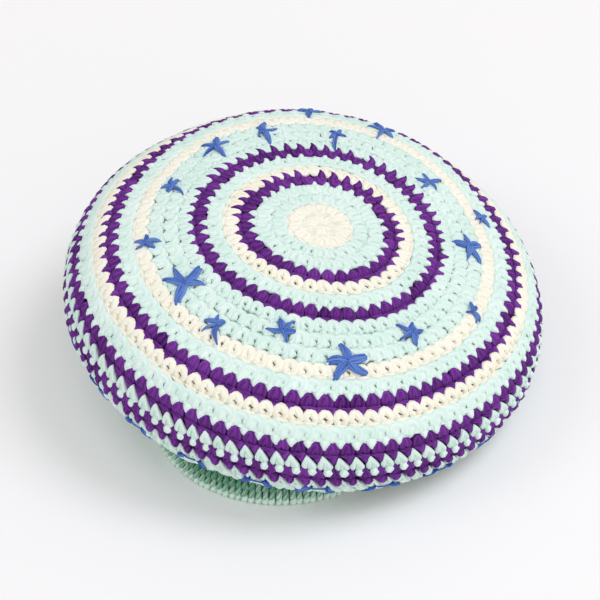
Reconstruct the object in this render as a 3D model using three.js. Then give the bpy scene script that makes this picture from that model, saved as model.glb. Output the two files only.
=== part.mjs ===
// Crocheted beret lying on a flat surface: a round, puffed crown turned under at its rim, worked on to a
// ribbed headband. Millimetres, +Z up, the floor at z = 0, +X to the right and -Y towards the viewer.
import * as THREE from 'three';

// ---- driving sizes (mm, degrees) -------------------------------------------------------------------------
const ROUND_PITCH = 8.75; // depth of one crochet round along the fabric
const WALL = 5.0; // thickness of the crocheted fabric
const SEAM_GAP = 0.3; // clearance between crown and headband
const SEGMENTS = 60; // facets round the hat

const APEX = { x: 7.94, y: -3.74, z: 102.4 }; // centre of the crown, where the first round starts
const LEAN_RIGHT = 8.1; // the crown slumps to its right
const LEAN_FRONT = 3.5; // and a little to its front

const HEADBAND = { x: -14.86, y: -47.84, radius: 77.7, height: 22.0, wall: WALL };

// Crown profile: how steeply the fabric falls at each round, counted outward from the apex, and how much steeper
// it is at the back.
const CROWN_SLOPES = [
  { round: 0.0, slope: 0.0, back: 0.0 }, // flat middle
  { round: 5.0, slope: 3.7, back: 0.0 },
  { round: 9.0, slope: 13.4, back: -6.5 }, // shallow dome
  { round: 12.5, slope: 15.8, back: 2.8 },
  { round: 14.0, slope: 28.8, back: 13.5 }, // shoulder, sharper at the back
  { round: 16.0, slope: 50.5, back: -1.1 },
  { round: 19.0, slope: 94.9, back: 0.0 }, // widest round
  { round: 21.4, slope: 133.8, back: 0.0 }, // turned under
];
const FOLD_ROUND = CROWN_SLOPES[CROWN_SLOPES.length - 1].round;
const BACK = { from: 0.35, span: 0.5 }; // the sine of the azimuth at which the back starts, and over which it grows
const TUCK_SLOPE = 150.0; // direction in which the underside leaves the fold
const TUCK_PULL = 0.9; // how far the underside keeps that direction, as a share of its run

// Soft ripples: how many waves round the hat, and how far out on the cosine and the sine of them, for the inner
// rounds and for the outer rounds.
const RIPPLES = [
  { waves: 2, inner_cos: 1.59, inner_sin: -0.36, outer_cos: -0.54, outer_sin: 0.93 },
  { waves: 3, inner_cos: -0.79, inner_sin: -0.66, outer_cos: -0.45, outer_sin: -1.1 },
];
const RIPPLE = { grow: 5.0, outer: 8.0, span: 6.0 }; // rounds by which they grow, and over which inner gives way to outer

// Rings of facets on the two faces of the crown, by round on the top and by share of the run underneath.
const OUTER_ROUNDS = [3, 6, 8.5, 11, 13, 14.5, 16, 17.5, 19, 20.2, FOLD_ROUND];
const OUTER_TUCKS = [0.3, 0.65, 1];
const INNER_ROUNDS = [4, 8, 11, 13.5, 16, 18, 20, FOLD_ROUND];
const INNER_TUCKS = [0.5, 1];

// Headband section, from the floor up the outside and down the inside: in = inset from the outer radius.
const HEADBAND_SECTION = [
  { height: 0.0, inset: 1.0 },
  { height: 3.0, inset: 0.0 },
  { height: HEADBAND.height - 3.0, inset: 0.0 },
  { height: HEADBAND.height, inset: 0.7 },
  { height: HEADBAND.height, inset: HEADBAND.wall },
  { height: 0.0, inset: HEADBAND.wall },
];

// ---- crown surface ---------------------------------------------------------------------------------------
const RAD = Math.PI / 180;
const smooth = (x) => { const t = Math.min(1, Math.max(0, x)); return t * t * (3 - 2 * t); };

function slopeAt(round, atBack) {
  const rows = CROWN_SLOPES;
  const steep = (row) => row.slope + atBack * row.back;
  for (let i = 1; i < rows.length; i++) {
    if (round <= rows[i].round) {
      const t = (round - rows[i - 1].round) / (rows[i].round - rows[i - 1].round);
      return RAD * (steep(rows[i - 1]) + t * (steep(rows[i]) - steep(rows[i - 1])));
    }
  }
  return RAD * steep(rows[rows.length - 1]);
}

// Radius and drop of a round, by following the slope outward from the apex.
function profileAt(round, azimuth) {
  const atBack = smooth((Math.sin(azimuth) - BACK.from) / BACK.span);
  const steps = Math.max(1, Math.round(round / 0.05));
  const length = (round / steps) * ROUND_PITCH;
  let radius = 0, drop = 0;
  for (let i = 0; i < steps; i++) {
    const slope = slopeAt(((i + 0.5) * round) / steps, atBack);
    radius += Math.cos(slope) * length;
    drop += Math.sin(slope) * length;
  }
  const outer = smooth((round - RIPPLE.outer) / RIPPLE.span);
  const inner = Math.min(1, round / RIPPLE.grow) * (1 - outer);
  for (const w of RIPPLES) {
    const c = Math.cos(w.waves * azimuth), s = Math.sin(w.waves * azimuth);
    radius += inner * (w.inner_cos * c + w.inner_sin * s) + outer * (w.outer_cos * c + w.outer_sin * s);
  }
  return { radius, drop };
}

const lean = new THREE.Matrix4()
  .makeRotationY(LEAN_RIGHT * RAD)
  .multiply(new THREE.Matrix4().makeRotationX(LEAN_FRONT * RAD));
const apex = new THREE.Vector3(APEX.x, APEX.y, APEX.z);

function onCrown(round, azimuth) {
  const { radius, drop } = profileAt(round, azimuth);
  return new THREE.Vector3(radius * Math.cos(azimuth), radius * Math.sin(azimuth), -drop).applyMatrix4(lean).add(apex);
}

// The underside runs from the fold to the top of the headband.
function onUnderside(share, azimuth) {
  const from = onCrown(FOLD_ROUND, azimuth);
  const to = onHeadband(HEADBAND.radius, HEADBAND.height + SEAM_GAP, azimuth);
  const slope = TUCK_SLOPE * RAD;
  const run = from.distanceTo(to) * TUCK_PULL;
  const leave = new THREE.Vector3(Math.cos(slope) * Math.cos(azimuth), Math.cos(slope) * Math.sin(azimuth), -Math.sin(slope)).applyMatrix4(lean);
  const arrive = new THREE.Vector3(-Math.cos(azimuth), -Math.sin(azimuth), 0);
  const t = share, t2 = t * t, t3 = t2 * t;
  return new THREE.Vector3()
    .addScaledVector(from, 2 * t3 - 3 * t2 + 1)
    .addScaledVector(leave, (t3 - 2 * t2 + t) * run)
    .addScaledVector(to, -2 * t3 + 3 * t2)
    .addScaledVector(arrive, (t3 - t2) * run);
}

function onHeadband(radius, height, azimuth) {
  return new THREE.Vector3(HEADBAND.x + radius * Math.cos(azimuth), HEADBAND.y + radius * Math.sin(azimuth), height);
}

// One station runs over both: up to FOLD_ROUND on the crown, then one more unit over the underside.
const onFabric = (station, azimuth) =>
  station <= FOLD_ROUND ? onCrown(station, azimuth) : onUnderside(station - FOLD_ROUND, azimuth);

function inside(station, azimuth) {
  const step = 0.02, turn = 0.5 * RAD;
  const along = onFabric(Math.min(station + step, FOLD_ROUND + 1), azimuth).sub(onFabric(station - step, azimuth));
  const round = onFabric(station, azimuth + turn).sub(onFabric(station, azimuth - turn));
  const inward = new THREE.Vector3().crossVectors(round, along).normalize();
  return onFabric(station, azimuth).addScaledVector(inward, WALL);
}

// ---- bodies ----------------------------------------------------------------------------------------------
const azimuths = Array.from({ length: SEGMENTS }, (_, i) => (i * 2 * Math.PI) / SEGMENTS);
const ring = (place) => azimuths.map(place);

// A closed body from rings of points: a point at each end closes the ends, or the last ring joins the first.
function ringBody(rings, capStart, capEnd) {
  const points = [], index = [], n = SEGMENTS;
  for (const r of rings) for (const p of r) points.push(p.x, p.y, p.z);
  const quad = (a, b) => {
    for (let i = 0; i < n; i++) {
      const j = (i + 1) % n;
      index.push(a * n + i, b * n + i, b * n + j, a * n + i, b * n + j, a * n + j);
    }
  };
  for (let k = 0; k + 1 < rings.length; k++) quad(k, k + 1);
  if (capStart && capEnd) {
    const first = points.length / 3, last = first + 1, end = (rings.length - 1) * n;
    points.push(capStart.x, capStart.y, capStart.z, capEnd.x, capEnd.y, capEnd.z);
    for (let i = 0; i < n; i++) {
      const j = (i + 1) % n;
      index.push(first, i, j, last, end + j, end + i);
    }
  } else quad(rings.length - 1, 0);
  const geometry = new THREE.BufferGeometry();
  geometry.setAttribute('position', new THREE.Float32BufferAttribute(points, 3));
  geometry.setIndex(index);
  geometry.computeVertexNormals();
  return geometry;
}

function crownGeometry() {
  const seat = HEADBAND.height + SEAM_GAP, mouth = HEADBAND.radius - HEADBAND.wall;
  const rings = [
    ...OUTER_ROUNDS.map((round) => ring((a) => onFabric(round, a))),
    ...OUTER_TUCKS.map((share) => ring((a) => onFabric(FOLD_ROUND + share, a))),
    ring((a) => onHeadband(mouth, seat, a)),
    ring((a) => onHeadband(mouth, seat + WALL, a)),
    ...[...INNER_TUCKS].reverse().map((share) => ring((a) => inside(FOLD_ROUND + share, a))),
    ...[...INNER_ROUNDS].reverse().map((round) => ring((a) => inside(round, a))),
  ];
  const axis = new THREE.Vector3(0, 0, -WALL).applyMatrix4(lean);
  return ringBody(rings, apex, apex.clone().add(axis));
}

const headbandGeometry = () =>
  ringBody(HEADBAND_SECTION.slice().reverse().map((row) => ring((a) => onHeadband(HEADBAND.radius - row.inset, row.height, a))));

const yarn = (color) => new THREE.MeshStandardMaterial({ color, roughness: 0.95, metalness: 0 });
const crown = new THREE.Mesh(crownGeometry(), yarn(0xcfe9df));
crown.name = 'crown';
const headband = new THREE.Mesh(headbandGeometry(), yarn(0xb4dccb));
headband.name = 'headband';

const beret = new THREE.Group();
beret.name = 'crocheted_beret';
beret.add(crown, headband);
export default beret;
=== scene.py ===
import math

import bpy
import numpy as np
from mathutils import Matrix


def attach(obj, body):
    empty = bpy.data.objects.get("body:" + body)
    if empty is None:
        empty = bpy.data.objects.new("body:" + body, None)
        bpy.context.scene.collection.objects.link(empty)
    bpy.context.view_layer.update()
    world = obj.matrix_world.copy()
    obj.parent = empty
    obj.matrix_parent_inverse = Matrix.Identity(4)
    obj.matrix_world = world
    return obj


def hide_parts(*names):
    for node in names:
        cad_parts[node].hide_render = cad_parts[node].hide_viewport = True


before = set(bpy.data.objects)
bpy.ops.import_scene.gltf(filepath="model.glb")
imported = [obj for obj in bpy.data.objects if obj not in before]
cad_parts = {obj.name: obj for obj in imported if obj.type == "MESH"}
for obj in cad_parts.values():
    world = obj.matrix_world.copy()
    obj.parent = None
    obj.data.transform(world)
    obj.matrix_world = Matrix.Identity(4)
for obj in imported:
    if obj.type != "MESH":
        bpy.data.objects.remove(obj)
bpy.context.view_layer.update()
rng = np.random.default_rng(11)

# ---------------------------------------------------------------------------------------------------------
# Sizes, as in the CAD: millimetres and degrees
# ---------------------------------------------------------------------------------------------------------
ROUND_PITCH, WALL, SEAM_GAP = 8.75, 5.0, 0.3
APEX = np.array([7.94, -3.74, 102.4])
LEAN_RIGHT, LEAN_FRONT = 8.1, 3.5
BAND_X, BAND_Y, BAND_RADIUS, BAND_HEIGHT = -14.86, -47.84, 77.7, 22.0
# round, slope of the fabric, how much steeper it is at the back
CROWN_SLOPES = np.array([
    (0, 0.0, 0.0), (5, 3.7, 0.0), (9, 13.4, -6.5), (12.5, 15.8, 2.8), (14, 28.8, 13.5), (16, 50.5, -1.1), (19, 94.9, 0.0), (21.4, 133.8, 0.0),
])
FOLD_ROUND = CROWN_SLOPES[-1, 0]
BACK_FROM, BACK_SPAN = 0.35, 0.5
# waves round the hat, then mm on the cosine and the sine of the inner rounds and of the outer rounds
RIPPLES = [(2, 1.59, -0.36, -0.54, 0.93), (3, -0.79, -0.66, -0.45, -1.10)]
RIPPLE_GROW, RIPPLE_OUTER, RIPPLE_SPAN = 5.0, 8.0, 6.0
TUCK_SLOPE, TUCK_PULL = 150.0, 0.9
TAU = 2 * math.pi


def turn_y(a):
    return np.array([[math.cos(a), 0, math.sin(a)], [0, 1, 0], [-math.sin(a), 0, math.cos(a)]])


def turn_x(a):
    return np.array([[1, 0, 0], [0, math.cos(a), -math.sin(a)], [0, math.sin(a), math.cos(a)]])


LEAN = turn_y(math.radians(LEAN_RIGHT)) @ turn_x(math.radians(LEAN_FRONT))
AZ_N, Q_STEP, Q_FINE = 720, 0.1, 2  # azimuths, rounds from one station to the next, steps of the sum in between
_az = np.arange(AZ_N) * TAU / AZ_N


def smooth(x):
    x = np.clip(x, 0, 1)
    return x * x * (3 - 2 * x)


def unit(v):
    return v / np.maximum(np.linalg.norm(v, axis=-1, keepdims=True), 1e-12)


def crown_face():
    """Azimuths x stations x 3: the crown's outer face, by following the slope outward from the apex."""
    s = np.linspace(0, FOLD_ROUND, int(round(FOLD_ROUND / Q_STEP)) * Q_FINE + 1)
    middle, step = (s[1:] + s[:-1]) / 2, ROUND_PITCH * (s[1] - s[0])
    rounds, slopes, backs = CROWN_SLOPES.T
    at_back = smooth((np.sin(_az) - BACK_FROM) / BACK_SPAN)[:, None]
    slope = np.radians(np.interp(middle, rounds, slopes) + at_back * np.interp(middle, rounds, backs))
    start = np.zeros((AZ_N, 1))
    r = np.concatenate([start, np.cumsum(np.cos(slope) * step, axis=1)], axis=1)
    z = -np.concatenate([start, np.cumsum(np.sin(slope) * step, axis=1)], axis=1)
    outer = smooth((s - RIPPLE_OUTER) / RIPPLE_SPAN)
    inner = np.minimum(1, s / RIPPLE_GROW) * (1 - outer)
    for waves, in_cos, in_sin, out_cos, out_sin in RIPPLES:
        c, d = np.cos(waves * _az)[:, None], np.sin(waves * _az)[:, None]
        r = r + (in_cos * c + in_sin * d) * inner + (out_cos * c + out_sin * d) * outer
    face = np.stack([r * np.cos(_az)[:, None], r * np.sin(_az)[:, None], z], -1) @ LEAN.T + APEX
    return face[:, ::Q_FINE]


def underside_face(start, share):
    """Azimuths x shares x 3: from the fold to the top of the headband."""
    a = math.radians(TUCK_SLOPE)
    leave = np.stack([math.cos(a) * np.cos(_az), math.cos(a) * np.sin(_az), np.full(AZ_N, -math.sin(a))], -1) @ LEAN.T
    end = np.stack([BAND_X + BAND_RADIUS * np.cos(_az), BAND_Y + BAND_RADIUS * np.sin(_az), np.full(AZ_N, BAND_HEIGHT + SEAM_GAP)], -1)
    arrive = np.stack([-np.cos(_az), -np.sin(_az), np.zeros(AZ_N)], -1)
    run = np.linalg.norm(end - start, axis=-1, keepdims=True) * TUCK_PULL
    t = share[None, :, None]
    start, leave, end, arrive, run = (v[:, None] for v in (start, leave, end, arrive, run))
    return (2 * t**3 - 3 * t**2 + 1) * start + (t**3 - 2 * t**2 + t) * run * leave + (3 * t**2 - 2 * t**3) * end + (t**3 - t**2) * run * arrive


# The whole outer face of the fabric as a table: azimuth by station. A station counts rounds along the fabric, past the fold
# by its true length, so that rounds keep their depth underneath.
_crown = crown_face()
_t = np.linspace(0, 1, 121)
_under = underside_face(_crown[:, -1], _t)
_arc = np.concatenate([np.zeros((AZ_N, 1)), np.cumsum(np.linalg.norm(np.diff(_under, axis=1), axis=2), axis=1)], axis=1)
STATION_END = FOLD_ROUND + _arc[:, -1] / ROUND_PITCH
_q_top = np.arange(_crown.shape[1] - 1) * Q_STEP
_q_under = np.arange(len(_q_top), int(STATION_END.max() / Q_STEP) + 2) * Q_STEP
Q_N = len(_q_top) + len(_q_under)
FABRIC = np.empty((AZ_N, Q_N, 3))
FABRIC[:, : len(_q_top)] = _crown[:, :-1]
for _i in range(AZ_N):
    for _c in range(3):
        FABRIC[_i, len(_q_top) :, _c] = np.interp((_q_under - FOLD_ROUND) * ROUND_PITCH, _arc[_i], _under[_i, :, _c])
_dq = np.gradient(FABRIC, axis=1)
_dz = np.roll(FABRIC, -1, axis=0) - np.roll(FABRIC, 1, axis=0)
NORMAL = np.cross(_dq, _dz)
_flat = np.linalg.norm(NORMAL, axis=2)
NORMAL[:, :2] = LEAN @ np.array([0, 0, 1.0])
for _j in range(2, Q_N):  # past the end of the fabric the last direction goes on
    _lost = (_flat[:, _j] < 1e-6) | (_j * Q_STEP > STATION_END - 0.05)
    NORMAL[_lost, _j] = NORMAL[_lost, _j - 1]
NORMAL = unit(NORMAL)
_soft = NORMAL.copy()
for _k in range(-3, 4):
    if _k:
        _soft += NORMAL[:, np.clip(np.arange(Q_N) + _k, 0, Q_N - 1)]
NORMAL = unit(_soft)
GIRTH = np.linalg.norm(_dz, axis=2) / (2 * TAU / AZ_N)  # millimetres to a radian of azimuth


def read(table, q, az):
    x = (np.asarray(az) % TAU) * AZ_N / TAU
    i = np.floor(x).astype(int)
    f = (x - i)[..., None]
    y = np.clip(np.asarray(q) / Q_STEP, 0, Q_N - 1.001)
    j = np.floor(y).astype(int)
    g = (y - j)[..., None]
    i0, i1 = i % AZ_N, (i + 1) % AZ_N
    t = table if table.ndim == 3 else table[..., None]
    v = (t[i0, j] * (1 - f) + t[i1, j] * f) * (1 - g) + (t[i0, j + 1] * (1 - f) + t[i1, j + 1] * f) * g
    return v if table.ndim == 3 else v[..., 0]


def place(q, az, h):
    n = unit(read(NORMAL, q, az))
    return read(FABRIC, q, az) + np.asarray(h)[..., None] * n, n


def station_end(az):
    return np.interp(np.asarray(az) % TAU, np.append(_az, TAU), np.append(STATION_END, STATION_END[0]))


# ---------------------------------------------------------------------------------------------------------
# Yarn tubes
# ---------------------------------------------------------------------------------------------------------
def resample(rows, count):
    """A smooth line through the rows of a template, at count even steps."""
    rows = np.asarray(rows, float)
    n = len(rows)
    x = np.linspace(0, n - 1, count)
    i = np.clip(np.floor(x).astype(int), 0, n - 2)
    f = (x - i)[:, None]
    p0, p1, p2, p3 = rows[np.clip(i - 1, 0, n - 1)], rows[i], rows[i + 1], rows[np.clip(i + 2, 0, n - 1)]
    return 0.5 * (2 * p1 + (p2 - p0) * f + (2 * p0 - 5 * p1 + 4 * p2 - p3) * f**2 + (3 * p1 - p0 - 3 * p2 + p3) * f**3)


END_SHADE, END_RUN = 0.6, 0.2  # painted shade: how much darker a yarn is painted where it goes into the fabric, over which share of its length


class Yarns:
    """Closed yarn tubes, gathered batch by batch and made into one mesh."""

    def __init__(self):
        self.batches = []

    def add(self, centre, normal, wide, high, tone_and_shade, sides=8, ends=1.0):
        """centre and normal: tubes x rings x 3; wide and high: tubes x rings; a tone, random with any painted shade or
        painted light, and how far the ends darken with painted shade: one a tube.
        """
        if len(centre):
            self.batches.append((centre, normal, wide, high, tone_and_shade, sides, np.broadcast_to(END_SHADE * ends, len(centre))))

    def build(self, name, material, cells=None):
        points, loops, starts, totals, ply, bake, tones_and_shades = [], [], [], [], [], [], []
        tubes = sum(len(b[0]) for b in self.batches)
        columns = max(1, math.ceil(math.sqrt(tubes / 2)))
        lines = math.ceil(tubes / columns)
        base, cell, corner = 0, 0, 0
        for centre, normal, wide, high, tone_and_shade, m, dark in self.batches:
            n, k = centre.shape[:2]
            along = unit(np.gradient(centre, axis=1))
            up = unit(normal - (normal * along).sum(-1, keepdims=True) * along)
            side = np.cross(along, up)
            a = np.arange(m) * TAU / m
            ring = (
                centre[:, :, None]
                + wide[:, :, None, None] * np.cos(a)[None, None, :, None] * side[:, :, None]
                + high[:, :, None, None] * np.sin(a)[None, None, :, None] * up[:, :, None]
            )
            own = k * m + 2
            verts = np.concatenate([ring.reshape(n, k * m, 3), centre[:, :1], centre[:, -1:]], axis=1)
            points.append(verts.reshape(-1, 3))
            step = np.linspace(0, 1, k)
            # painted shade: the yarn darkens towards both ends, where it dives into the fabric
            painted_shade = dark[:, None] * (1 - smooth(np.minimum(step, 1 - step) / END_RUN))
            shades = np.repeat(tone_and_shade[:, None] - painted_shade, m, axis=1)
            tones_and_shades.append(np.concatenate([shades, np.repeat((tone_and_shade - dark)[:, None], 2, axis=1)], axis=1).ravel())
            first = base + np.arange(n)[:, None] * own
            kk, jj = np.meshgrid(np.arange(k - 1), np.arange(m), indexing="ij")
            kk, jj = kk.ravel(), jj.ravel()
            j2 = (jj + 1) % m
            quad = np.stack([kk * m + jj, (kk + 1) * m + jj, (kk + 1) * m + j2, kk * m + j2], -1)
            j = np.arange(m)
            cap0 = np.stack([np.full(m, k * m), j, (j + 1) % m], -1)
            cap1 = np.stack([np.full(m, k * m + 1), (k - 1) * m + (j + 1) % m, (k - 1) * m + j], -1)
            length = np.concatenate([np.zeros((n, 1)), np.cumsum(np.linalg.norm(np.diff(centre, axis=1), axis=2), axis=1)], axis=1) / 10
            q_len = np.stack([length[:, kk], length[:, kk + 1], length[:, kk + 1], length[:, kk]], -1)
            q_around = np.broadcast_to(np.stack([jj, jj, jj + 1, jj + 1], -1) / m, q_len.shape)
            q_step = np.broadcast_to(np.stack([kk, kk + 1, kk + 1, kk], -1) / (k - 1), q_len.shape)
            c_around = np.broadcast_to(np.stack([j + 0.5, j, j + 1.0], -1) / m, (n, m, 3))
            d_around = np.broadcast_to(np.stack([j + 0.5, j + 1.0, j], -1) / m, (n, m, 3))
            zero, one = np.zeros((n, m, 3)), np.ones((n, m, 3))
            end = np.broadcast_to(length[:, -1, None, None], (n, m, 3))
            # Each tube has its own cell on the map that a bake uses, caps at its two ends.
            at = cell + np.arange(n)
            cx, cy = (at % columns)[:, None, None], (at // columns)[:, None, None]
            tip = np.array([0.0, 1.0, 1.0])

            def on_map(x, y):
                return np.stack([(cx + 0.04 + 0.92 * x) / columns, (cy + 0.06 + 0.88 * y) / lines], -1)

            bake.append(np.concatenate([
                on_map(0.08 + 0.84 * q_step, q_around).reshape(n, -1, 2),
                on_map(0.08 * tip + zero, c_around).reshape(n, -1, 2),
                on_map(1 - 0.08 * tip + zero, d_around).reshape(n, -1, 2),
            ], axis=1).reshape(-1, 2))
            ply.append(np.concatenate([
                np.stack([q_around, q_len], -1).reshape(n, -1, 2),
                np.stack([c_around, zero], -1).reshape(n, -1, 2),
                np.stack([d_around, end], -1).reshape(n, -1, 2),
            ], axis=1).reshape(-1, 2))
            flat = np.concatenate([quad.ravel(), cap0.ravel(), cap1.ravel()])
            loops.append((first + flat[None]).ravel())
            sizes = np.concatenate([np.full(len(quad), 4), np.full(2 * m, 3)])
            totals.append(np.tile(sizes, n))
            base, cell, corner = base + n * own, cell + n, corner + n * len(flat)
        totals = np.concatenate(totals)
        starts = np.concatenate([[0], np.cumsum(totals)[:-1]])
        return new_mesh(name, np.concatenate(points), np.concatenate(loops), starts, totals, material,
                        {"ply": np.concatenate(ply), "OFBake": np.concatenate(bake)}, {"tone_and_shade": np.concatenate(tones_and_shades)})


def new_mesh(name, points, loops, starts, totals, material, maps, numbers):
    mesh = bpy.data.meshes.new(name)
    mesh.vertices.add(len(points))
    mesh.vertices.foreach_set("co", (points * 0.001).astype(np.float32).ravel())
    mesh.loops.add(len(loops))
    mesh.loops.foreach_set("vertex_index", loops.astype(np.int32))
    mesh.polygons.add(len(starts))
    mesh.polygons.foreach_set("loop_start", starts.astype(np.int32))
    mesh.polygons.foreach_set("loop_total", totals.astype(np.int32))
    mesh.polygons.foreach_set("use_smooth", np.ones(len(starts), bool))
    for key, uv in maps.items():
        layer = mesh.uv_layers.new(name=key)
        layer.data.foreach_set("uv", uv.astype(np.float32).ravel())
    for key, values in numbers.items():
        values = np.asarray(values, np.float32)
        if values.ndim == 1:
            mesh.attributes.new(key, "FLOAT", "POINT").data.foreach_set("value", values)
        else:
            mesh.attributes.new(key, "FLOAT_COLOR", "POINT").data.foreach_set("color", values.ravel())
    mesh.update(calc_edges=True)
    mesh.validate()
    mesh.materials.append(material)
    piece = bpy.data.objects.new(name, mesh)
    bpy.context.scene.collection.objects.link(piece)
    return piece


# ---------------------------------------------------------------------------------------------------------
# Materials
# ---------------------------------------------------------------------------------------------------------
def linear(*rgb):
    return tuple(c / 12.92 if c <= 0.04045 else ((c + 0.055) / 1.055) ** 2.4 for c in (v / 255 for v in rgb))


COLOURS = {  # name: (lit yarn, the shade in its twist)
    "mint": (linear(228, 244, 239), linear(200, 231, 222)),
    "cream": (linear(248, 247, 236), linear(239, 235, 215)),
    "purple": (linear(126, 60, 160), linear(40, 4, 64)),
    "blue": (linear(110, 146, 216), linear(36, 70, 162)),
    "band": (linear(216, 243, 229), linear(84, 147, 116)),
}


def math_node(nodes, links, operation, a, b=None, c=None):
    n = nodes.new("ShaderNodeMath")
    n.operation = operation
    for i, v in enumerate((a, b, c)):
        if v is None:
            continue
        if isinstance(v, (int, float)):
            n.inputs[i].default_value = v
        else:
            links.new(v, n.inputs[i])
    return n.outputs[0]


def yarn_material(name, lit, shade, plies=4.0, twist=1.3, depth=0.00035):
    m = bpy.data.materials.new(name)
    m.use_nodes = True
    nodes, links = m.node_tree.nodes, m.node_tree.links
    bsdf = nodes["Principled BSDF"]
    bsdf.inputs["Roughness"].default_value = 0.92
    bsdf.inputs["Specular IOR Level"].default_value = 0.1
    bsdf.inputs["Sheen Weight"].default_value = 0.02
    bsdf.inputs["Sheen Roughness"].default_value = 0.6
    uv = nodes.new("ShaderNodeUVMap")
    uv.uv_map = "ply"
    split = nodes.new("ShaderNodeSeparateXYZ")
    links.new(uv.outputs[0], split.inputs[0])
    turns = math_node(nodes, links, "MULTIPLY", split.outputs[0], plies)
    phase = math_node(nodes, links, "MULTIPLY_ADD", split.outputs[1], twist, turns)
    ply = math_node(nodes, links, "SINE", math_node(nodes, links, "MULTIPLY", phase, TAU))
    # fine fibres lying along the strands
    stretch = nodes.new("ShaderNodeMapping")
    stretch.inputs["Scale"].default_value = (22, 5, 1)
    links.new(uv.outputs[0], stretch.inputs[0])
    fibre = nodes.new("ShaderNodeTexNoise")
    fibre.inputs["Scale"].default_value = 1.0
    fibre.inputs["Detail"].default_value = 2.0
    links.new(stretch.outputs[0], fibre.inputs["Vector"])
    # slow change of dye along the ball of yarn
    spots = nodes.new("ShaderNodeTexCoord")
    dye_and_shade = nodes.new("ShaderNodeTexNoise")
    dye_and_shade.inputs["Scale"].default_value = 45.0
    dye_and_shade.inputs["Detail"].default_value = 2.0
    links.new(spots.outputs["Object"], dye_and_shade.inputs["Vector"])
    tone_and_shade = nodes.new("ShaderNodeAttribute")
    tone_and_shade.attribute_name = "tone_and_shade"
    # painted shade: the colour goes from the lit yarn to its shade along the ply's twist, and darker still where the
    # tone carries painted shade at the yarn's ends, on the band's upper stitches and on the rim stars
    share = math_node(nodes, links, "MULTIPLY_ADD", ply, 0.22, 0.62)
    share = math_node(nodes, links, "MULTIPLY_ADD", math_node(nodes, links, "SUBTRACT", fibre.outputs["Fac"], 0.5), 0.5, share)
    share = math_node(nodes, links, "MULTIPLY_ADD", math_node(nodes, links, "SUBTRACT", dye_and_shade.outputs["Fac"], 0.5), 0.5, share)
    share = math_node(nodes, links, "ADD", share, tone_and_shade.outputs["Fac"])
    mix = nodes.new("ShaderNodeMix")
    mix.data_type = "RGBA"
    mix.clamp_factor = True
    mix.inputs["A"].default_value = (*shade, 1)
    mix.inputs["B"].default_value = (*lit, 1)
    for s in mix.inputs:
        if s.name == "A" and s.type == "RGBA":
            s.default_value = (*shade, 1)
        if s.name == "B" and s.type == "RGBA":
            s.default_value = (*lit, 1)
    links.new(share, mix.inputs[0])
    colour = next(o for o in mix.outputs if o.type == "RGBA")
    links.new(colour, bsdf.inputs["Base Color"])
    height = math_node(nodes, links, "MULTIPLY_ADD", fibre.outputs["Fac"], 0.8, math_node(nodes, links, "MULTIPLY", ply, 0.5))
    bump = nodes.new("ShaderNodeBump")
    bump.inputs["Strength"].default_value = 0.7
    bump.inputs["Distance"].default_value = depth
    links.new(height, bump.inputs["Height"])
    links.new(bump.outputs[0], bsdf.inputs["Normal"])
    return m


YARN = {key: yarn_material(f"{key}_yarn", *pair) for key, pair in COLOURS.items()}


def fabric_material(name):
    """The body of the fabric behind the stitches: yarn colour by round from the mesh, darkened with painted shade where
    it lies deep between them, with a knotted relief.
    """
    m = bpy.data.materials.new(name)
    m.use_nodes = True
    nodes, links = m.node_tree.nodes, m.node_tree.links
    bsdf = nodes["Principled BSDF"]
    bsdf.inputs["Roughness"].default_value = 0.95
    bsdf.inputs["Specular IOR Level"].default_value = 0.15
    colour = nodes.new("ShaderNodeAttribute")
    # painted shade: this colour is darkened where the body lies deep between the stitches
    colour.attribute_name = "dye_and_shade"
    where = nodes.new("ShaderNodeTexCoord")
    knots = nodes.new("ShaderNodeTexNoise")
    knots.inputs["Scale"].default_value = 420.0
    knots.inputs["Detail"].default_value = 3.0
    links.new(where.outputs["Object"], knots.inputs["Vector"])
    darker = nodes.new("ShaderNodeHueSaturation")
    value = math_node(nodes, links, "MULTIPLY_ADD", knots.outputs["Fac"], 0.5, 0.7)
    links.new(value, darker.inputs["Value"])
    links.new(colour.outputs["Color"], darker.inputs["Color"])
    links.new(darker.outputs[0], bsdf.inputs["Base Color"])
    bump = nodes.new("ShaderNodeBump")
    bump.inputs["Strength"].default_value = 0.8
    bump.inputs["Distance"].default_value = 0.0008
    links.new(knots.outputs["Fac"], bump.inputs["Height"])
    links.new(bump.outputs[0], bsdf.inputs["Normal"])
    return m


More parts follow.
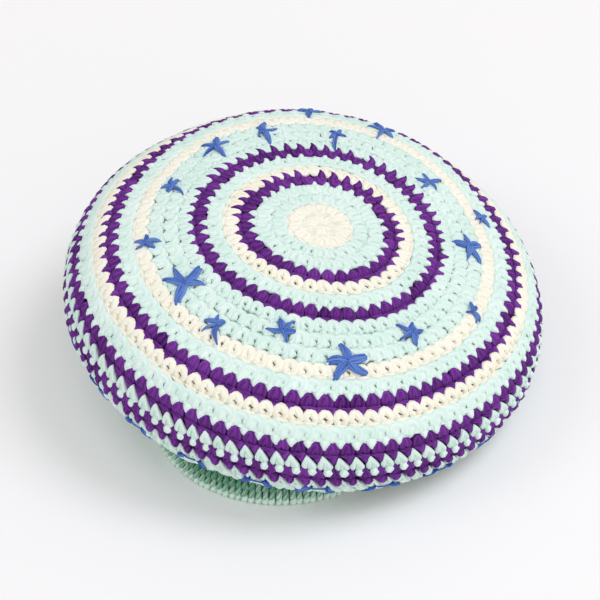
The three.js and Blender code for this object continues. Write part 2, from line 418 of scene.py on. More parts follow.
# ---------------------------------------------------------------------------------------------------------
# Crown: rounds of crochet, charted from the centre out
# ---------------------------------------------------------------------------------------------------------
# yarn, stitches; the heads from -1 flat over 0 round to 1 pointed; how open the eye of a stitch is; how far its tooth is a bead
# and not a point; how much relief the heads have; how far the teeth reach; whether a chain shows; how far the heads rise
ROUNDS = [
    ("cream", 7, -0.6, 0.0, 0.0, 0.03, 0.0, 1, 0.00),
    ("cream", 14, -0.8, 0.0, 0.0, 0.03, 0.0, 1, 0.00),
    ("mint", 21, -0.8, 0.9, 0.3, 0.22, 0.5, 1, 0.00),
    ("mint", 27, -0.6, 0.7, 0.6, 0.28, 1.0, 1, 0.00),
    ("purple", 33, 0.0, 0.0, 0.0, 1.00, 1.1, 1, 0.00),
    ("cream", 40, -0.1, 1.8, 0.0, 0.70, 0.0, 1, 0.00),
    ("mint", 48, -1.0, 0.4, 0.6, 0.24, 1.0, 1, -0.05),
    ("purple", 56, 0.0, 0.0, 0.0, 1.00, 1.1, 1, 0.00),
    ("mint", 61, -0.3, 1.5, 0.2, 0.45, 0.4, 0, 0.00),
    ("mint", 66, -0.9, 0.7, 0.2, 0.28, 0.4, 0, 0.00),
    ("mint", 71, -0.9, 0.7, 0.2, 0.28, 0.4, 0, 0.00),
    ("cream", 76, -0.5, 1.2, 0.0, 0.45, 0.0, 1, 0.00),
    ("mint", 80, -1.0, 0.3, 0.3, 0.22, 1.0, 1, -0.05),
    ("purple", 84, 0.1, 0.0, 0.0, 1.00, 1.1, 1, 0.00),
    ("cream", 88, -0.1, 2.0, 0.0, 0.80, 0.0, 1, 0.00),
    ("mint", 92, -1.0, 0.3, 0.3, 0.25, 1.0, 1, -0.02),
    ("purple", 95, 0.3, 0.0, 0.1, 1.00, 1.05, 1, 0.00),
    ("mint", 97, 1.0, 0.0, 1.0, 1.00, 1.0, 0, 0.00),
    ("purple", 98, 1.0, 0.0, 0.9, 1.00, 1.0, 1, 0.15),
    ("mint", 98, 0.8, 0.3, 0.4, 1.00, 1.0, 1, 0.00),
    ("mint", 98, 0.4, 0.3, 0.4, 1.00, 1.0, 1, 0.00),
]
UNDER_YARN, UNDER_SPACING = "mint", 8.8  # rounds underneath
UNDER_FIRST, UNDER_PLAIN = 20, 23  # the first of them, and the first that is plainer
UNDER_SLIM = 0.6  # their yarn is drawn tighter
SLIM = {18: 0.85}  # and so is the yarn of these rounds
HEAD_TOP = 0.9  # a round's heads start this far inside its outer edge
HEAD_LEAN, POINTED_LEAN = -0.22, 0.14  # share of a stitch by which a head's top stands to the left of its foot, and further when pointed
SOFT = 0.65  # share of the relief that the pale rounds lose at the sides and the back, where they lie flatter
TOOTH_LIFT = {"mint": 0.85, "purple": 0.0, "cream": 0.0}  # mm by which a tooth stands up between the next round's heads
CHAIN_DROP = {"mint": 0.0, "purple": 0.05, "cream": 0.07}  # share of a round by which a chain hangs lower
GROOVE = {5: 0.4, 8: 0.6, 14: 1.1, 17: 1.4, 19: 1.3}  # by round, mm by which the heads' feet sink behind their chain
STAND = {5: 1.0, 8: 1.1}  # by round, mm by which the yarn stands up further at the back
DRIFT = 0.25  # heads step back by this share of a stitch from round to round

# One half of a stitch's loop from its foot to its top: across (share of a stitch), along (share of a round), height above
# the fabric's face, half width, half thickness (mm)
LOOP_ROUND = [
    (0.110, 0.87, -3.60, 1.70, 1.30),
    (0.175, 0.76, -2.30, 2.30, 1.70),
    (0.210, 0.60, -1.30, 2.60, 1.90),
    (0.208, 0.42, -0.90, 2.65, 1.95),
    (0.135, 0.22, -1.00, 2.50, 1.90),
    (0.000, 0.14, -1.10, 2.40, 1.85),
]
LOOP_POINTED = [
    (0.270, 0.94, -2.70, 1.60, 1.30),
    (0.320, 0.80, -1.60, 1.90, 1.70),
    (0.275, 0.60, -1.10, 1.95, 1.90),
    (0.160, 0.35, -0.90, 1.80, 1.90),
    (0.045, 0.10, -1.00, 1.50, 1.75),
    (0.000, -0.05, -1.30, 1.00, 1.50),
]
LOOP_FLAT = [
    (0.260, 0.90, -2.60, 2.50, 1.30),
    (0.340, 0.74, -1.60, 2.90, 1.60),
    (0.375, 0.50, -1.00, 3.05, 1.80),
    (0.365, 0.30, -1.10, 2.90, 1.80),
    (0.230, 0.20, -2.00, 2.60, 1.70),
    (0.000, 0.18, -2.60, 2.60, 1.60),
]
# What fills the middle of a pointed head, in the same columns
LOOP_FILL = [
    (0.00, 0.26, -2.60, 0.70, 1.20),
    (0.00, 0.42, -1.90, 0.90, 1.50),
    (0.00, 0.60, -1.60, 1.30, 1.60),
    (0.00, 0.78, -1.50, 1.60, 1.60),
    (0.00, 0.95, -2.40, 1.50, 1.20),
]
FILL_FROM = 0.9  # heads more pointed than this are filled
# The chain along the foot of a round, one link to a stitch, in the same columns
CHAIN_LINK = [
    (-0.56, 0.80, -2.60, 0.90, 1.10),
    (-0.25, 0.82, -1.50, 1.35, 1.50),
    (0.05, 0.85, -1.20, 1.45, 1.60),
    (0.32, 0.88, -1.50, 1.35, 1.50),
    (0.58, 0.92, -2.60, 0.90, 1.10),
]
# The tooth of a stitch that shows between the next round's heads, as a point and as a bead: along, height, half width, half
# thickness
TOOTH_POINT = [
    (0.80, -2.9, 2.30, 1.30),
    (0.90, -1.9, 3.20, 1.60),
    (1.02, -1.6, 3.00, 1.65),
    (1.17, -1.5, 2.20, 1.50),
    (1.33, -1.6, 1.25, 1.25),
    (1.50, -2.1, 0.40, 0.70),
]
TOOTH_BEAD = [
    (0.86, -2.7, 1.40, 1.10),
    (0.95, -0.9, 2.20, 1.80),
    (1.06, -0.1, 2.50, 2.00),
    (1.18, -0.2, 2.20, 1.80),
    (1.30, -0.9, 1.40, 1.20),
    (1.40, -2.0, 0.50, 0.60),
]
TOOTH_CURL = 0.16  # a point's end bends to one side by this share of a stitch
# rings along a yarn and sides round it, on the rounds that show and on those the hat lies on
FINE = {"loop": (13, 9), "tooth": (6, 7), "chain": (5, 6)}
PLAIN = {"loop": (9, 7), "tooth": (5, 6)}


def loop_rows(rows, rings):
    right = np.array(rows)
    left = right * np.array([-1, 1, 1, 1, 1])
    return resample(np.concatenate([left, right[:-1][::-1]]), rings)


def press(high, thick, relief, level):
    """Draws the outer line of a yarn towards a level, and thins the yarn with it, so that a round lies flatter."""
    outer = level + (high + thick - level) * relief
    thick = thick * (0.45 + 0.55 * relief)
    return outer - thick, thick


def lie(az):
    """0 at the front, where the rounds stand up, to 1 at the sides and the back, where they lie flatter with longer teeth."""
    return smooth((np.sin(az) + 0.65) / 0.4)[:, None]


def swell(az, stand, high, thick):
    """Raises the outer line of a yarn at the back, where the rounds stand up, and leaves its inner line."""
    more = 0.5 * stand * smooth((np.sin(az) - 0.05) / 0.5)[:, None]
    return high + more, thick + more


def add_loops(yarns, top, az, width, head, eye, relief, mesh=FINE, soft=0.0, slim=1.0, groove=0.0, stand=0.0):
    """Loops with their tops at station top. az: middle of each; width: angle of each."""
    n = len(az)
    rings, sides = mesh["loop"]
    eye, relief = eye * (1 - 1.2 * soft * lie(az)), relief * (1 - soft * lie(az))
    other = loop_rows(LOOP_POINTED if head > 0 else LOOP_FLAT, rings)
    shape = loop_rows(LOOP_ROUND, rings) * (1 - abs(head)) + other * abs(head)
    across, along, high, wide, thick = (np.tile(c, (n, 1)) for c in shape.T)
    legs = smooth((along - 0.25) / 0.22) * (1 - 0.9 * smooth((along - 0.64) / 0.15))
    across = across + legs * np.sign(across) * 0.06 * eye
    wide = wide - legs * 0.40 * eye
    high, thick = press(high, thick, relief, 0.75)
    high = high - groove * (1 - 0.7 * lie(az)) * smooth((along - 0.5) / 0.25)
    high, thick = swell(az, stand, high, thick)
    wide = wide * (1.15 - 0.15 * relief) * slim
    size = rng.normal(1, 0.04, (n, 1))
    lean = HEAD_LEAN - POINTED_LEAN * max(head, 0)
    skew = rng.normal(lean, 0.05, (n, 1))
    across = across * size * (0.6 + 0.4 * slim) + skew * (0.6 - along) + rng.normal(0, 0.015, (n, 1))
    along = along + rng.normal(0, 0.025, (n, 1)) + rng.normal(0, 0.05, (n, 1)) * across
    high = high + (rng.normal(0, 0.16, (n, 1)) + 0.25 * rng.normal(0, 1, (n, 1)) * across) * (0.3 + 0.7 * relief)
    thick = thick * rng.normal(1, 0.04, (n, 1))
    wide = wide * rng.normal(1, 0.04, (n, 1))
    q, a = top + along, az[:, None] + across * width[:, None]
    centre, normal = place(np.broadcast_to(q, a.shape), a, high)
    # a narrow stitch is worked tighter
    girth = read(GIRTH, np.full(n, top + 0.6), az) * width
    tight = np.clip(girth / 8.7, 0.72, 1.1)[:, None]
    yarns.add(centre, normal, wide * tight, thick, rng.normal(0, 0.10, n), sides, np.ravel(relief))
    if head > FILL_FROM:
        across, along, high, wide, thick = (np.tile(c, (n, 1)) for c in resample(LOOP_FILL, 5).T)
        centre, normal = place(top + along, az[:, None] + (across + lean * (0.6 - along)) * width[:, None], high)
        yarns.add(centre, normal, wide, thick, rng.normal(-0.1, 0.10, n), sides, 0.5)


def add_chain(yarns, top, az, width, relief, drop=0.0, soft=0.0):
    """The chain at the foot of the round whose heads start at station top."""
    n = len(az)
    relief = relief * (1 - soft * lie(az))
    rings, sides = FINE["chain"]
    across, along, high, wide, thick = (np.tile(c, (n, 1)) for c in resample(CHAIN_LINK, rings).T)
    high, thick = press(high, thick, relief, 0.5)
    along = along + drop + rng.normal(0, 0.02, (n, 1))
    high = high + rng.normal(0, 0.12, (n, 1)) * (0.3 + 0.7 * relief)
    wide = wide * rng.normal(1, 0.05, (n, 1))
    a = az[:, None] + (across + rng.normal(0, 0.03, (n, 1))) * width[:, None]
    centre, normal = place(top + along, a, high)
    yarns.add(centre, normal, wide, thick, rng.normal(0, 0.10, n), sides, np.ravel(relief))


def add_teeth(yarns, top, az, width, bead, reach=1.0, lift=0.0, mesh=FINE, stand=0.0):
    """Teeth of the round whose heads start at station top. az: middle of each; width: angle of a stitch."""
    n = len(az)
    rings, sides = mesh["tooth"]
    shape = resample(TOOTH_POINT, rings) * (1 - bead) + resample(TOOTH_BEAD, rings) * bead
    along, high, wide, thick = (np.tile(c, (n, 1)) for c in shape.T)
    back = lie(az) * (1 - bead)
    along = np.where(along > 0.9, 0.9 + (along - 0.9) * reach * (1 + 0.2 * back), along) + rng.normal(0, 0.03, (n, 1))
    high = high + np.maximum(lift * (1 - bead), 0.85 * back) + rng.normal(0, 0.15, (n, 1))
    high, thick = swell(az, stand, high, thick)
    wide = wide * rng.normal(0.6 + 0.4 * reach, 0.06, (n, 1))
    bend = (TOOTH_CURL * (1 - bead) + rng.normal(0, 0.06, (n, 1))) * np.clip(along - 0.9, 0, 1) ** 2 / 0.3
    width = np.broadcast_to(width, n)
    a = az[:, None] + bend * width[:, None]
    centre, normal = place(top + along, a, high)
    girth = read(GIRTH, np.full(n, top + 1.0), az) * width
    tight = np.clip(girth / 8.7, 0.6, 1.1)[:, None]
    yarns.add(centre, normal, wide * tight, thick, rng.normal(0.03, 0.10, n), sides)


def next_round(parents, count, pointed):
    """Heads of a round worked into parents, some of them two to a stitch; and where the parents' tips show, which is between all
    heads that are pointed."""
    m = len(parents)
    extra = count - m
    twice = np.zeros(m, bool)
    if extra > 0:
        at = (np.arange(extra) + rng.uniform(0.2, 0.8, extra) + rng.uniform()) * m / extra
        twice[np.floor(at).astype(int) % m] = True
        while twice.sum() < extra:
            twice[rng.integers(m)] = True
    step, heads, owner = TAU / count, [], []
    for p in range(m):
        for shift in ((-0.5, 0.5) if twice[p] else (0.0,)):
            heads.append(parents[p] - DRIFT * step + shift * step * 0.9)
            owner.append(p)
    heads, owner = np.array(heads), np.array(owner)
    for _ in range(14):
        before = np.concatenate([[heads[-1] - TAU], heads[:-1]])
        after = np.concatenate([heads[1:], [heads[0] + TAU]])
        heads = 0.5 * heads + 0.25 * (before + after)
    heads = heads + rng.normal(0, 0.02, len(heads)) * step
    gap = np.concatenate([heads[1:], [heads[0] + TAU]])
    last = np.concatenate([owner[1:] != owner[:-1], [True]]) | pointed
    return heads, ((heads + gap) / 2)[last]


def widths(heads):
    before = np.concatenate([[heads[-1] - TAU], heads[:-1]])
    after = np.concatenate([heads[1:], [heads[0] + TAU]])
    return (after - before) / 2


crown = {key: Yarns() for key in ("mint_inner", "mint_outer", "cream", "purple", "under_a", "under_b", "under_c")}


def group_of(number, yarn):
    if number >= 20:
        return "under_a" if number <= 22 else "under_b" if number <= 26 else "under_c"
    if yarn == "mint":
        return "mint_inner" if number <= 11 else "mint_outer"
    return yarn


heads = np.arange(ROUNDS[0][1]) * TAU / ROUNDS[0][1] + 0.3
for number, (yarn, count, head, eye, bead, relief, reach, chain, rise) in enumerate(ROUNDS, 1):
    group = crown[group_of(number, yarn)]
    soft = 0.0 if yarn == "purple" or relief == 1 else SOFT
    add_loops(group, number - HEAD_TOP - rise, heads, widths(heads), head, eye, relief, FINE, soft, SLIM.get(number, UNDER_SLIM if number >= UNDER_FIRST else 1.0), GROOVE.get(number, 0.0), STAND.get(number, 0.0))
    if chain:
        add_chain(group, number - HEAD_TOP, heads, widths(heads), relief, CHAIN_DROP[yarn], soft)
    if number < len(ROUNDS):
        following, teeth = next_round(heads, ROUNDS[number][1], ROUNDS[number][2] > FILL_FROM)
    else:
        following, teeth = None, heads + widths(heads) * 0.2
    if reach:
        add_teeth(group, number - HEAD_TOP, teeth, TAU / count, bead, reach, TOOTH_LIFT[yarn], FINE, 0.5 * STAND.get(number, 0.0))
    heads = following

# Rounds underneath go on at the same depth until the headband covers them.
for number in range(len(ROUNDS) + 1, int(STATION_END.max()) + 1):
    middle = number - 0.35
    line = FABRIC[:, int(round(middle / Q_STEP))]
    step = np.linalg.norm(np.roll(line, -1, axis=0) - line, axis=1)
    open_ = STATION_END > number + 0.05
    step = np.where(open_, step, 0)
    run = np.concatenate([[0], np.cumsum(step)])
    count = max(1, int(run[-1] / UNDER_SPACING))
    spots = (np.arange(count) + (number * 0.37) % 1) * run[-1] / count
    az = np.interp(spots, run + np.arange(AZ_N + 1) * 1e-9, np.append(_az, TAU))
    girth = read(GIRTH, np.full(count, middle), az)
    keep = (station_end(az) > number + 0.1) & (girth > 20)
    az, girth = az[keep], girth[keep]
    group = crown[group_of(number, UNDER_YARN)]
    mesh = FINE if number < UNDER_PLAIN else PLAIN
    add_loops(group, number - HEAD_TOP, az, UNDER_SPACING / girth, 0.4, 0.3, 1.0 if number < UNDER_PLAIN else 0.7, mesh, 0.0, UNDER_SLIM if number < UNDER_PLAIN else 1.0)
    teeth = az + UNDER_SPACING / girth * 0.2
    keep = station_end(teeth) > number + 0.55
    if keep.any():
        add_teeth(group, number - HEAD_TOP, teeth[keep], (UNDER_SPACING / girth)[keep], 0.4, 1.0, 0.0, mesh)

PIECE_YARN = {"mint_inner": "mint", "mint_outer": "mint", "cream": "cream", "purple": "purple", "under_a": "mint", "under_b": "mint", "under_c": "mint"}
pieces = []
for key, yarns in crown.items():
    if yarns.batches:
        pieces.append(yarns.build(f"crown_{key}", YARN[PIECE_YARN[key]]))

# ---- the body of the fabric, with the back of the stitches on its inner face -----------------------------
BODY_AZ = 294
_body_az = np.arange(BODY_AZ) * TAU / BODY_AZ
FACE_DEPTH, BACK_DEPTH, BACK_RELIEF = 2.9, 4.6, 1.0
FACE = np.array([(0.0, -0.72), (0.06, -0.6), (0.2, 0.5), (0.35, 0.85), (0.65, 1.7), (1.0, FACE_DEPTH)])  # relief of a round, depth of the body


def face_depth(q):
    """How far the body lies behind the fabric's face: less where the heads have less relief."""
    middles = np.arange(len(ROUNDS)) + 0.5
    return np.interp(np.interp(q, middles, [r[5] for r in ROUNDS]), *FACE.T)


GAP_SHADE = {"mint": 0.35, "cream": 0.22, "purple": 0.6}  # painted shade: share of the yarn's shade colour that is left deep between its stitches, darkened as if in shadow
BEHIND = {18: "purple"}  # rounds whose gaps show the yarn of the round before


def colour_and_shade_of(q, deep=False):
    """Yarn colour of a station as it lies behind the stitches, drawn towards the lit colour where the round lies flat,
    or, where deep, darkened with painted shade at the bottom of their gaps.
    """
    number = np.clip(np.floor(q + 0.02).astype(int), 0, 60)
    yarns = [(BEHIND.get(i, r[0]) if deep else r[0], r[5]) for i, r in enumerate(ROUNDS, 1)] + [(UNDER_YARN, 1.0)] * 60
    table = []
    for y, relief in yarns:
        far, near = (float(smooth(relief / 0.3)) * deep), 0.6 * (1 - float(smooth(relief / 0.15)))
        table.append([(b + (a - b) * near) * (1 - (1 - GAP_SHADE[y]) * far) for a, b in zip(*COLOURS[y])])
    return np.array([(*table[i], 1.0) for i in number])


rows, colours_and_shades = [], []
share_top = np.concatenate([np.arange(0.25, FOLD_ROUND, 0.5), [FOLD_ROUND]])
for q in share_top:
    rows.append(place(np.full(BODY_AZ, q), _body_az, np.full(BODY_AZ, -face_depth(q)))[0])
    # painted shade: the face's rows take the darkened colour deep between the stitches
    colours_and_shades.append(colour_and_shade_of(np.full(BODY_AZ, q), True))
for t in np.linspace(0.08, 1, 16):
    q = FOLD_ROUND + (station_end(_body_az) - FOLD_ROUND) * t
    rows.append(place(q, _body_az, np.full(BODY_AZ, -FACE_DEPTH * (1 - 0.6 * t**6)))[0])
    colours_and_shades.append(colour_and_shade_of(q, True))
for r, z in ((BAND_RADIUS - 1.2, BAND_HEIGHT + 0.5), (BAND_RADIUS - WALL + 0.6, BAND_HEIGHT + 0.5), (BAND_RADIUS - WALL + 0.6, BAND_HEIGHT + 4.6)):
    rows.append(np.stack([BAND_X + r * np.cos(_body_az), BAND_Y + r * np.sin(_body_az), np.full(BODY_AZ, z)], -1))
    colours_and_shades.append(colour_and_shade_of(np.full(BODY_AZ, 30.0)))
for t in np.linspace(1, 0.06, 30):
    q = FOLD_ROUND + (station_end(_body_az) - FOLD_ROUND) * t
    knot = np.abs(np.sin(math.pi * q)) * (0.65 + 0.35 * np.cos(_body_az * 98 + 0.5 * np.floor(q)))
    rows.append(place(q, _body_az, -(BACK_DEPTH + BACK_RELIEF * knot))[0])
    colours_and_shades.append(colour_and_shade_of(q))
for q in np.arange(FOLD_ROUND, 0.2, -1 / 3):
    stitches = ROUNDS[min(int(q), len(ROUNDS) - 1)][1]
    knot = np.abs(np.sin(math.pi * q)) * (0.65 + 0.35 * np.cos(_body_az * stitches + 0.7 * int(q)))
    rows.append(place(np.full(BODY_AZ, q), _body_az, -(BACK_DEPTH + BACK_RELIEF * knot))[0])
    colours_and_shades.append(colour_and_shade_of(np.full(BODY_AZ, q)))
grid = np.array(rows)
n_rows = len(rows)
axis = LEAN @ np.array([0, 0, 1.0])
body_points = np.concatenate([grid.reshape(-1, 3), [APEX - axis * face_depth(0), APEX - axis * (BACK_DEPTH + 0.3)]])
body_colours_and_shades = np.concatenate([np.array(colours_and_shades).reshape(-1, 4), [colours_and_shades[0][0], colours_and_shades[-1][0]]])
kk, jj = (x.ravel() for x in np.meshgrid(np.arange(n_rows - 1), np.arange(BODY_AZ), indexing="ij"))
j2 = (jj + 1) % BODY_AZ
quads = np.stack([kk * BODY_AZ + jj, (kk + 1) * BODY_AZ + jj, (kk + 1) * BODY_AZ + j2, kk * BODY_AZ + j2], -1)
j = np.arange(BODY_AZ)
cap0 = np.stack([np.full(BODY_AZ, n_rows * BODY_AZ), j, (j + 1) % BODY_AZ], -1)
cap1 = np.stack([np.full(BODY_AZ, n_rows * BODY_AZ + 1), (n_rows - 1) * BODY_AZ + (j + 1) % BODY_AZ, (n_rows - 1) * BODY_AZ + j], -1)
totals = np.concatenate([np.full(len(quads), 4), np.full(2 * BODY_AZ, 3)])


def strip_map(n_lines, count):
    a, b = (x.ravel() for x in np.meshgrid(np.arange(n_lines - 1), np.arange(count), indexing="ij"))
    quad_map = np.stack([np.stack([b, a], -1), np.stack([b, a + 1], -1), np.stack([b + 1, a + 1], -1), np.stack([b + 1, a], -1)], 1) * 1.0
    c = np.arange(count)
    low = np.stack([np.stack([c + 0.5, c * 0 - 1.0], -1), np.stack([c, c * 0], -1), np.stack([c + 1, c * 0], -1)], 1)
    top = np.stack([np.stack([c + 0.5, c * 0 + n_lines * 1.0], -1), np.stack([c + 1, c * 0 + n_lines - 1], -1), np.stack([c, c * 0 + n_lines - 1], -1)], 1)
    return quad_map, low, top


quad_map, low, top = strip_map(n_rows, BODY_AZ)
body_map = np.concatenate([quad_map.reshape(-1, 2), low.reshape(-1, 2), top.reshape(-1, 2)])
body_map = (body_map + [0, 1]) / [BODY_AZ, n_rows + 1] * 0.98 + 0.01
fabric = fabric_material("crochet_body")
body = new_mesh("crown_fabric", body_points, np.concatenate([quads.ravel(), cap0.ravel(), cap1.ravel()]),
                np.concatenate([[0], np.cumsum(totals)[:-1]]), totals, fabric, {"OFBake": body_map}, {"dye_and_shade": body_colours_and_shades})
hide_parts("crown")
pieces.append(body)

# ---------------------------------------------------------------------------------------------------------
# Stars: blue strands sewn over the crochet
# ---------------------------------------------------------------------------------------------------------
# round, azimuth, then five arms: towards (0 is the rim, 90 is counter-clockwise), reach in mm, 1 thin to 4 wide
STARS = [
    (10.43, 133.3, [(36, 10.1, 2), (103, 12.6, 2), (319, 9.8, 3), (253, 9.0, 1), (160, 13.2, 3)]),
    (10.28, 111.7, [(39, 6.5, 2), (340, 10.1, 3), (267, 8.1, 1), (170, 12.5, 3), (120, 7.0, 2)]),
    (12.75, 93.0, [(63, 6.9, 2), (288, 9.4, 1), (175, 6.7, 3), (47, 3.8, 1), (319, 5.1, 1)]),
    (9.90, 82.9, [(57, 5.0, 2), (342, 7.0, 2), (257, 5.3, 1), (130, 5.6, 2), (185, 16.8, 2)]),
    (12.37, 68.3, [(95, 9.9, 1), (44, 11.0, 3), (316, 9.7, 2), (250, 9.5, 2), (182, 12.5, 2)]),
    (9.84, 38.9, [(146, 9.5, 2), (5, 10.2, 2), (202, 9.5, 2), (277, 7.1, 1), (75, 7.2, 1)]),
    (12.17, 19.1, [(103, 7.6, 2), (33, 5.8, 2), (289, 8.1, 2), (197, 5.1, 1), (240, 4.6, 1)]),
    (10.26, 3.3, [(181, 11.9, 4), (100, 10.6, 2), (30, 8.8, 4), (299, 13.5, 3), (257, 10.6, 3)]),
    (11.37, 332.9, [(139, 7.9, 2), (85, 5.3, 2), (351, 7.1, 1), (317, 6.6, 2), (215, 4.1, 1)]),
    (9.88, 307.3, [(218, 10.5, 2), (144, 6.8, 3), (78, 6.8, 2), (341, 7.5, 3), (283, 8.6, 2)]),
    (11.00, 280.2, [(188, 11.9, 4), (265, 11.8, 4), (319, 12.1, 4), (41, 12.5, 4), (101, 11.4, 4)]),
    (9.43, 256.1, [(296, 8.8, 2), (222, 7.1, 3), (153, 8.5, 2), (93, 7.0, 3), (30, 7.4, 2)]),
    (10.83, 234.1, [(225, 6.7, 2), (280, 7.4, 2), (339, 8.8, 1), (37, 11.2, 2), (147, 4.9, 3)]),
    (10.11, 213.8, [(267, 13.5, 3), (205, 16.1, 4), (148, 10.8, 3), (37, 13.5, 4), (310, 11.9, 3)]),
    (11.21, 190.7, [(338, 7.5, 2), (269, 7.5, 2), (174, 9.2, 2), (29, 7.4, 1), (112, 6.4, 3)]),
    (10.40, 161.8, [(15, 6.3, 2), (301, 8.9, 2), (246, 7.5, 2), (154, 12.8, 2), (103, 5.4, 3)]),
]
# Stars at the turn of the rim: how many, the azimuth of the first, the round on which they stand; then the strands of each:
# across and along from its middle (mm), towards, reach in mm, 0 thin to 3 wide
RIM_STARS, RIM_STAR_AZ, RIM_STAR_ROUND = 24, 4.3, 19.85
RIM_STAR_STRANDS = [(-4.6, 0.0, 335, 13.0, 3), (4.6, 0.0, 25, 13.0, 3), (-4.2, 0.6, 90, 8.4, 0)]
RIM_STAR_SHADE = -0.15  # painted shade: how much darker their blue is painted where they lie under the turn of the rim
# by size of arm: half width and half thickness of a strand, strands side by side, distance from one to the next, how far the
# arm runs to a point
STRAND = {
    0: (0.45, 0.45, 1, 0.00, 0.2), 1: (0.90, 0.70, 1, 0.00, 0.8), 2: (0.80, 0.70, 2, 1.20, 0.7), 3: (0.85, 0.75, 3, 1.20, 0.45), 4: (1.00, 0.80, 3, 1.65, 0.25),
}
# share of the arm, height over the fabric, share of a strand's width, share of the distance between strands
ARM = resample([
    (-0.06, 0.7, 0.85, 0.55), (0.10, 1.3, 0.95, 0.75), (0.30, 1.5, 1.0, 1.0), (0.52, 1.5, 1.0, 1.05),
    (0.74, 1.4, 1.0, 1.0), (0.90, 0.9, 0.95, 0.92), (0.98, -0.2, 0.85, 0.85), (1.00, -1.6, 0.6, 0.8),
], 12)


def add_star(yarns, q0, az0, arms, lift=0.0, tone_and_shade=0.0):
    girth = float(read(GIRTH, np.array([q0]), np.array([az0]))[0])
    share, high, slim, spread = ARM.T
    for order, (across, along, toward, reach, size) in enumerate(arms):
        half, thick, strands, apart, taper = STRAND[size]
        point = 1 - taper * smooth((share - 0.45) / 0.55)
        a = math.radians(toward)
        bend, hook = rng.normal(0, 0.6), rng.normal(0, 0.9)
        for s in range(strands):
            side = s - (strands - 1) / 2
            bow = side * apart * spread * point + bend * np.sin(np.clip(share, 0, 1) * math.pi) + hook * np.clip(share, 0, 1) ** 3
            bow = bow + rng.normal(0, 0.22) * np.sin(np.clip(share, 0, 1) * TAU)
            out = share * reach * (1 - 0.08 * abs(side)) * rng.normal(1, 0.05)
            u = across + out * math.sin(a) + bow * math.cos(a)
            v = along + out * math.cos(a) - bow * math.sin(a)
            h = high + lift + 0.10 * order - 0.18 * abs(side) + rng.normal(0, 0.08)
            centre, normal = place(q0 + v / ROUND_PITCH, az0 + u / girth, h)
            yarns.add(centre[None], normal[None], (slim * half * (0.35 + 0.65 * point))[None], np.full((1, len(ARM)), thick), np.array([rng.normal(tone_and_shade, 0.20)]), 8)


stars = Yarns()
for q0, azimuth, arms in STARS:
    add_star(stars, q0, math.radians(azimuth), [(0, 0, *arm) for arm in arms])
for i in range(RIM_STARS):
    strands = [(x, y, toward + rng.normal(0, 5), reach * rng.uniform(0.85, 1.1), size) for x, y, toward, reach, size in RIM_STAR_STRANDS]
    add_star(stars, RIM_STAR_ROUND + rng.normal(0, 0.08), math.radians(RIM_STAR_AZ + rng.normal(0, 0.5) + i * 360 / RIM_STARS), strands, -0.5, RIM_STAR_SHADE)
pieces.append(stars.build("crown_stars", YARN["blue"]))

# ---------------------------------------------------------------------------------------------------------
# Headband: upright ribs of small stitches, four to a rib, on both faces
# ---------------------------------------------------------------------------------------------------------
RIBS = 124
# top and bottom of each stitch of a rib, half width at its middle, how much lighter it is painted: painted shade on the
# upper stitches under the crown's overhang, painted light on the beads at the edge
RIB_OUTSIDE = [(22.0, 15.6, 1.45, -0.8), (16.4, 9.8, 1.55, -0.6), (10.6, 4.6, 1.65, -0.2), (5.4, 0.8, 2.00, 0.5)]
RIB_INSIDE = [(27.6, 20.4, 1.75, 0.0), (21.0, 12.6, 1.75, 0.0), (13.2, 4.8, 1.75, 0.0), (5.4, 1.0, 1.80, 0.0)]
# share of the way down, how far it stands in from the face, share of half width, half thickness
RIB = [(0.0, 2.9, 0.36, 0.9), (0.20, 2.3, 0.60, 1.3), (0.48, 1.7, 0.92, 1.7), (0.76, 1.6, 1.0, 1.75), (0.93, 2.0, 0.82, 1.4), (1.0, 2.8, 0.5, 0.8)]
RIB_SLANT = 0.42  # share of a rib by which the top of a stitch leans to the right of its foot
RIB_FLARE = 2.2  # mm by which the top of the band stands in behind its edge


def band_lean(z):
    """How far the band stands in at a height."""
    return RIB_FLARE * np.clip((np.asarray(z) / BAND_HEIGHT - 0.2) / 0.8, 0, 1)


def add_ribs(yarns, stitches, radius, facing, rings, sides):
    spot = np.arange(RIBS) * TAU / RIBS
    down, inset, slim, thick = resample(RIB, rings).T
    for row, (high, low, half, tone_and_shade) in enumerate(stitches):
        turn = spot + rng.normal(0, 0.04, RIBS) * TAU / RIBS
        z = (high + (low - high) * down)[None] + rng.normal(0, 0.15, (RIBS, 1)) * (0 if row == len(stitches) - 1 else 1)
        a = turn[:, None] + RIB_SLANT * (0.5 - down) * TAU / RIBS
        r = radius - facing * (inset[None] + rng.normal(0, 0.12, (RIBS, 1))) - band_lean(z)
        centre = np.stack([BAND_X + r * np.cos(a), BAND_Y + r * np.sin(a), z], -1)
        normal = facing * np.stack([np.cos(a), np.sin(a), np.zeros(a.shape)], -1)
        wide = np.tile(slim * half, (RIBS, 1)) * rng.normal(1, 0.04, (RIBS, 1))
        yarns.add(centre, normal, wide, np.tile(thick, (RIBS, 1)), rng.normal(tone_and_shade, 0.10, RIBS), sides)


ribs = Yarns()
add_ribs(ribs, RIB_OUTSIDE, BAND_RADIUS, 1, 8, 8)
pieces.append(ribs.build("headband_ribs", YARN["band"]))
ribs_in = Yarns()
add_ribs(ribs_in, RIB_INSIDE, BAND_RADIUS - WALL, -1, 6, 6)
pieces.append(ribs_in.build("headband_ribs_inside", YARN["band"]))

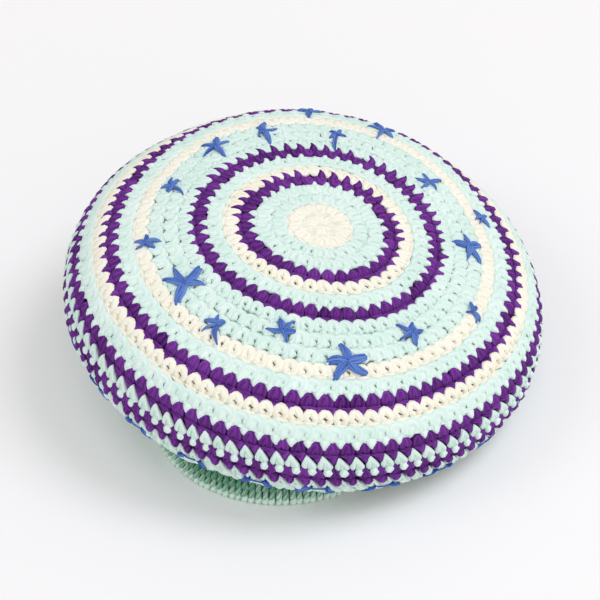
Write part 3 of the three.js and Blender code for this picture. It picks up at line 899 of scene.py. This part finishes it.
# the body of the band between its two faces, coloured at a third of the band's shade: painted shade in the gaps between
# the ribs
core = [(BAND_RADIUS - inset - float(band_lean(z)), z) for inset, z in ((2.9, 1.2), (3.0, 8.0), (3.0, 21.6), (3.2, 22.0), (3.4, 21.6), (3.4, 8.0), (3.4, 1.2), (3.1, 0.9))]
n_core, core_az = len(core), np.arange(214) * TAU / 214
core_points = np.concatenate([np.stack([BAND_X + r * np.cos(core_az), BAND_Y + r * np.sin(core_az), np.full(214, z)], -1) for r, z in core])
kk, jj = (x.ravel() for x in np.meshgrid(np.arange(n_core), np.arange(214), indexing="ij"))
k2, j2 = (kk + 1) % n_core, (jj + 1) % 214
core_quads = np.stack([kk * 214 + jj, kk * 214 + j2, k2 * 214 + j2, k2 * 214 + jj], -1)
core_map = np.stack([np.stack([jj, kk], -1), np.stack([jj + 1, kk], -1), np.stack([jj + 1, kk + 1], -1), np.stack([jj, kk + 1], -1)], 1).reshape(-1, 2) / [214, n_core]
band_body = new_mesh("headband_fabric", core_points, core_quads.ravel(), np.arange(len(core_quads)) * 4, np.full(len(core_quads), 4), fabric,
                     {"OFBake": core_map * 0.98 + 0.01}, {"dye_and_shade": np.tile((*(0.35 * c for c in COLOURS["band"][1]), 1.0), (len(core_points), 1))})
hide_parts("headband")
pieces.append(band_body)

for piece in pieces:
    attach(piece, "root")

# ---------------------------------------------------------------------------------------------------------
# Floor, light and camera
# ---------------------------------------------------------------------------------------------------------
scene = bpy.context.scene
floor_mesh = bpy.data.meshes.new("floor")
floor_mesh.from_pydata([(-4, -4, 0), (4, -4, 0), (4, 4, 0), (-4, 4, 0)], [], [(0, 1, 2, 3)])
floor = bpy.data.objects.new("floor", floor_mesh)
scene.collection.objects.link(floor)
paper = bpy.data.materials.new("pale_floor")
paper.use_nodes = True
paper.node_tree.nodes["Principled BSDF"].inputs["Base Color"].default_value = (0.92, 0.92, 0.932, 1)
paper.node_tree.nodes["Principled BSDF"].inputs["Roughness"].default_value = 0.9
paper.node_tree.nodes["Principled BSDF"].inputs["Specular IOR Level"].default_value = 0.1
floor_mesh.materials.append(paper)

world = bpy.data.worlds.new("studio")
scene.world = world
world.use_nodes = True
world.node_tree.nodes["Background"].inputs[0].default_value = (1, 0.955, 0.92, 1)
# the studio is brighter towards the front right, and dimmer towards the back left
LIGHT_LEVEL, LIGHT_SWING, LIGHT_TOWARD = 0.685, 0.36, (0.7, -0.7, 0.0)
world_nodes, world_links = world.node_tree.nodes, world.node_tree.links
toward = world_nodes.new("ShaderNodeTexCoord")
share = world_nodes.new("ShaderNodeVectorMath")
share.operation = "DOT_PRODUCT"
share.inputs[1].default_value = LIGHT_TOWARD
world_links.new(toward.outputs["Generated"], share.inputs[0])
level = math_node(world_nodes, world_links, "MULTIPLY_ADD", share.outputs["Value"], LIGHT_LEVEL * LIGHT_SWING, LIGHT_LEVEL)
world_links.new(level, world_nodes["Background"].inputs[1])


def area_light(name, place_m, target_m, size, power):
    data = bpy.data.lights.new(name, "AREA")
    data.color = (0.96, 1.0, 1.06)
    data.shape = "DISK"
    data.size = size
    data.energy = power
    lamp = bpy.data.objects.new(name, data)
    scene.collection.objects.link(lamp)
    lamp.location = place_m
    aim = np.array(target_m) - np.array(place_m)
    from mathutils import Vector
    lamp.rotation_euler = Vector(aim).to_track_quat("-Z", "Y").to_euler()
    return lamp


area_light("overhead_right", (2.0, 0.0, 3.464), (0, 0, 0.03), 2.0, 47)
area_light("overhead_front", (0.0, -1.753, 3.595), (0, 0, 0.03), 2.0, 13)
area_light("fill_left", (-2.6, -0.8, 2.6), (0, 0, 0.03), 2.0, 15)

scene.view_settings.view_transform = "Standard"
scene.view_settings.look = "None"
scene.view_settings.exposure = 0
scene.view_settings.gamma = 1

# The photograph's view: its elevation and field of view, and where a point near the crown's middle lies in the frame
CAMERA_ELEVATION, FIELD_OF_VIEW, FRAME_SIDE = math.radians(42.9), math.radians(20), 600
VIEW_POINT, VIEW_PIXEL, MM_PER_PIXEL = np.array([7.54, -4.64, 102.4]), (319.3, 226.4), 0.569
distance = FRAME_SIDE / 2 / math.tan(FIELD_OF_VIEW / 2) * MM_PER_PIXEL
back = np.array([0, -math.cos(CAMERA_ELEVATION), math.sin(CAMERA_ELEVATION)])
up = np.array([0, math.sin(CAMERA_ELEVATION), math.cos(CAMERA_ELEVATION)])
right_mm = (VIEW_PIXEL[0] - FRAME_SIDE / 2) * MM_PER_PIXEL
up_mm = (FRAME_SIDE / 2 - VIEW_PIXEL[1]) * MM_PER_PIXEL
eye = VIEW_POINT - right_mm * np.array([1, 0, 0]) - up_mm * up + distance * back
cam_data = bpy.data.cameras.new("camera")
cam_data.sensor_fit = "AUTO"
cam_data.angle = FIELD_OF_VIEW
cam_data.clip_start, cam_data.clip_end = 0.05, 20
camera = bpy.data.objects.new("camera", cam_data)
scene.collection.objects.link(camera)
camera.location = tuple(eye * 0.001)
camera.rotation_euler = (math.pi / 2 - CAMERA_ELEVATION, 0, 0)
scene.camera = camera
